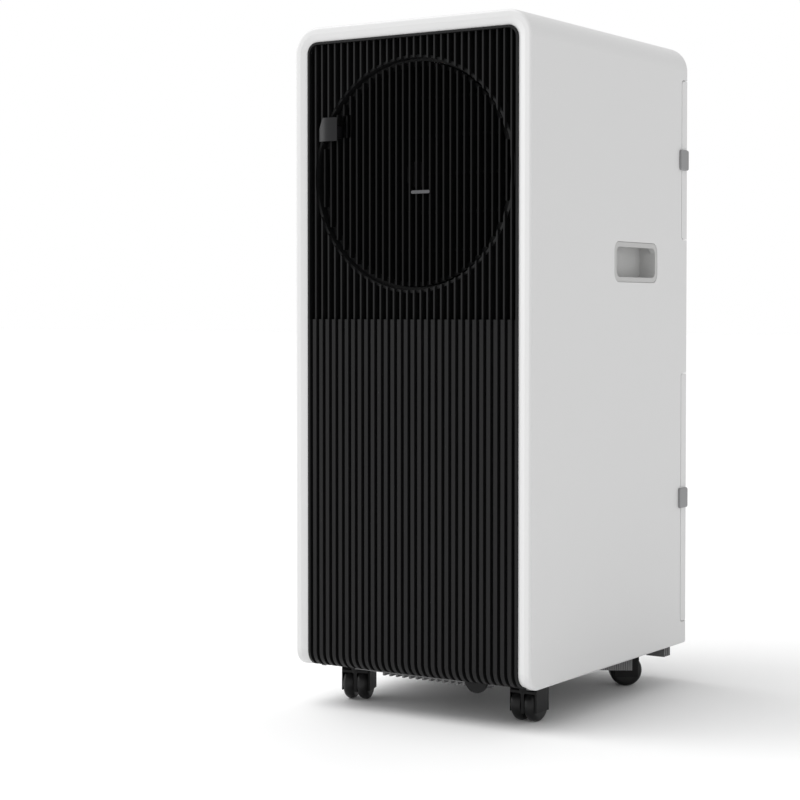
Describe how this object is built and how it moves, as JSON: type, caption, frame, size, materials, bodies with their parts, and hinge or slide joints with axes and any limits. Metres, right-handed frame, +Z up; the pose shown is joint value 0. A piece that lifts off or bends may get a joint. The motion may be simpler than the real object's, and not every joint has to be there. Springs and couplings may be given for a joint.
{
  "type": "portable air conditioner",
  "caption": "Portable air conditioner: white tower casing, black ribbed front with a round turning outlet, finger recesses, wrap-round filter covers, rear exhaust collar, twin-wheel casters.",
  "frame": {"origin": "on the floor under the middle of the casing", "axes": "+Z up, front facing -Y, width along X"},
  "size_m": [0.2852, 0.35, 0.7],
  "materials": {
    "casing": "satin white coating",
    "rear_white": "matte white moulding",
    "panel_white": "satin white moulding",
    "front_black": "fine-grained black",
    "gloss_black": "gloss black",
    "trim_silver": "dark bright trim",
    "dark_plastic": "matte",
    "motor_steel": "painted",
    "shaft_steel": "ground",
    "coil_aluminium": "mill",
    "copper": "drawn",
    "foam_grey": "foamed",
    "grey_plastic": "matte",
    "screw_steel": "plated",
    "rubber_grey": "matte",
    "rubber_black": "matte",
    "screen_grey": "mesh",
    "tab_grey": "satin",
    "compressor_black": "gloss paint",
    "box_steel": "matte",
    "capacitor_aluminium": "drawn",
    "display_black": "gloss",
    "board_green": "satin",
    "button_grey": "satin",
    "base_black": "matte",
    "caster_plastic": "satin",
    "wheel_black": "satin"
  },
  "bodies": {
    "body": {"base_pan": "base_black", "blower_motor": "motor_steel", "blower_scroll": "dark_plastic", "capacitor": "capacitor_aluminium", "casing_screws": "screw_steel", "caster_stems": "shaft_steel", "compressor": "compressor_black", "compressor_feet": "rubber_black", "condenser_fins": "coil_aluminium", "condenser_tubes": "copper", "control_board": "board_green", "control_panel": "panel_white", "cord_gland": "grey_plastic", "display_lens": "display_black", "electrics_box": "box_steel", "evaporator_fins": "coil_aluminium", "evaporator_tubes": "copper", "exhaust_collar": "grey_plastic", "exhaust_duct": "foam_grey", "fan_motor": "motor_steel", "fan_shroud": "dark_plastic", "front_panel": "front_black", "handle_left": "casing", "handle_right": "casing", "mid_deck": "foam_grey", "outer_shell": "casing", "rear_panel": "rear_white", "refrigerant_pipes": "copper"},
    "outlet": {"outlet_disc": "front_black", "outlet_tab": "gloss_black", "trim_bar": "trim_silver"},
    "fan": {"fan_rotor": "dark_plastic", "fan_shaft": "shaft_steel"},
    "blower": {"blower_wheel": "dark_plastic", "blower_shaft": "shaft_steel"},
    "upper_cover": {"upper_cover": "casing", "upper_filter": "screen_grey", "upper_tabs": "tab_grey"},
    "lower_cover": {"lower_cover": "casing", "lower_filter": "screen_grey", "lower_tabs": "tab_grey"},
    "plug": {"drain_plug": "rubber_grey"},
    "swivel_front_left": {"caster_hood_front_left": "caster_plastic", "caster_axle_front_left": "shaft_steel"},
    "wheels_front_left": {"caster_wheels_front_left": "wheel_black"},
    "swivel_front_right": {"caster_hood_front_right": "caster_plastic", "caster_axle_front_right": "shaft_steel"},
    "wheels_front_right": {"caster_wheels_front_right": "wheel_black"},
    "swivel_rear_left": {"caster_hood_rear_left": "caster_plastic", "caster_axle_rear_left": "shaft_steel"},
    "wheels_rear_left": {"caster_wheels_rear_left": "wheel_black"},
    "swivel_rear_right": {"caster_hood_rear_right": "caster_plastic", "caster_axle_rear_right": "shaft_steel"},
    "wheels_rear_right": {"caster_wheels_rear_right": "wheel_black"},
    "button_power": {"button_power": "button_grey"},
    "button_mode": {"button_mode": "button_grey"},
    "button_fan": {"button_fan": "button_grey"},
    "button_cooler": {"button_cooler": "button_grey"},
    "button_warmer": {"button_warmer": "button_grey"}
  },
  "joints": [
    {"name": "outlet_turn", "type": "hinge", "parent": "body", "child": "outlet", "pos_m": [0, -0.1565, 0.546], "axis": [0, 1, 0], "continuous": true},
    {"name": "fan_spin", "type": "hinge", "parent": "body", "child": "fan", "pos_m": [0, -0.1, 0.546], "axis": [0, 1, 0], "continuous": true},
    {"name": "blower_spin", "type": "hinge", "parent": "body", "child": "blower", "pos_m": [0.04, 0.04, 0.225], "axis": [0, 1, 0], "continuous": true},
    {"name": "upper_cover_pull", "type": "slide", "parent": "body", "child": "upper_cover", "axis": [0, 1, 0], "range_m": [0, 0.06]},
    {"name": "lower_cover_pull", "type": "slide", "parent": "body", "child": "lower_cover", "axis": [0, 1, 0], "range_m": [0, 0.06]},
    {"name": "drain_plug_pull", "type": "slide", "parent": "body", "child": "plug", "axis": [0, 1, 0], "range_m": [0, 0.015]},
    {"name": "power_press", "type": "slide", "parent": "body", "child": "button_power", "axis": [0, 0, -1], "range_m": [0, 0.001], "stiffness_N_per_m": 300},
    {"name": "mode_press", "type": "slide", "parent": "body", "child": "button_mode", "axis": [0, 0, -1], "range_m": [0, 0.001], "stiffness_N_per_m": 300},
    {"name": "fan_press", "type": "slide", "parent": "body", "child": "button_fan", "axis": [0, 0, -1], "range_m": [0, 0.001], "stiffness_N_per_m": 300},
    {"name": "cooler_press", "type": "slide", "parent": "body", "child": "button_cooler", "axis": [0, 0, -1], "range_m": [0, 0.001], "stiffness_N_per_m": 300},
    {"name": "warmer_press", "type": "slide", "parent": "body", "child": "button_warmer", "axis": [0, 0, -1], "range_m": [0, 0.001], "stiffness_N_per_m": 300},
    {"name": "front_left_swivel", "type": "hinge", "parent": "body", "child": "swivel_front_left", "pos_m": [-0.102, -0.118, 0.042], "axis": [0, 0, 1], "continuous": true},
    {"name": "front_left_roll", "type": "hinge", "parent": "swivel_front_left", "child": "wheels_front_left", "pos_m": [-0.10434, -0.11035, 0.0175], "axis": [0.9563, 0.2924, 0], "continuous": true},
    {"name": "front_right_swivel", "type": "hinge", "parent": "body", "child": "swivel_front_right", "pos_m": [0.102, -0.118, 0.042], "axis": [0, 0, 1], "continuous": true},
    {"name": "front_right_roll", "type": "hinge", "parent": "swivel_front_right", "child": "wheels_front_right", "pos_m": [0.102, -0.11, 0.0175], "axis": [1, 0, 0], "continuous": true},
    {"name": "rear_left_swivel", "type": "hinge", "parent": "body", "child": "swivel_rear_left", "pos_m": [-0.102, 0.118, 0.042], "axis": [0, 0, 1], "continuous": true},
    {"name": "rear_left_roll", "type": "hinge", "parent": "swivel_rear_left", "child": "wheels_rear_left", "pos_m": [-0.10794, 0.12335, 0.0175], "axis": [0.6691, 0.7431, 0], "continuous": true},
    {"name": "rear_right_swivel", "type": "hinge", "parent": "body", "child": "swivel_rear_right", "pos_m": [0.102, 0.118, 0.042], "axis": [0, 0, 1], "continuous": true},
    {"name": "rear_right_roll", "type": "hinge", "parent": "swivel_rear_right", "child": "wheels_rear_right", "pos_m": [0.09529, 0.11364, 0.0175], "axis": [-0.5446, 0.8387, 0], "continuous": true}
  ]
}
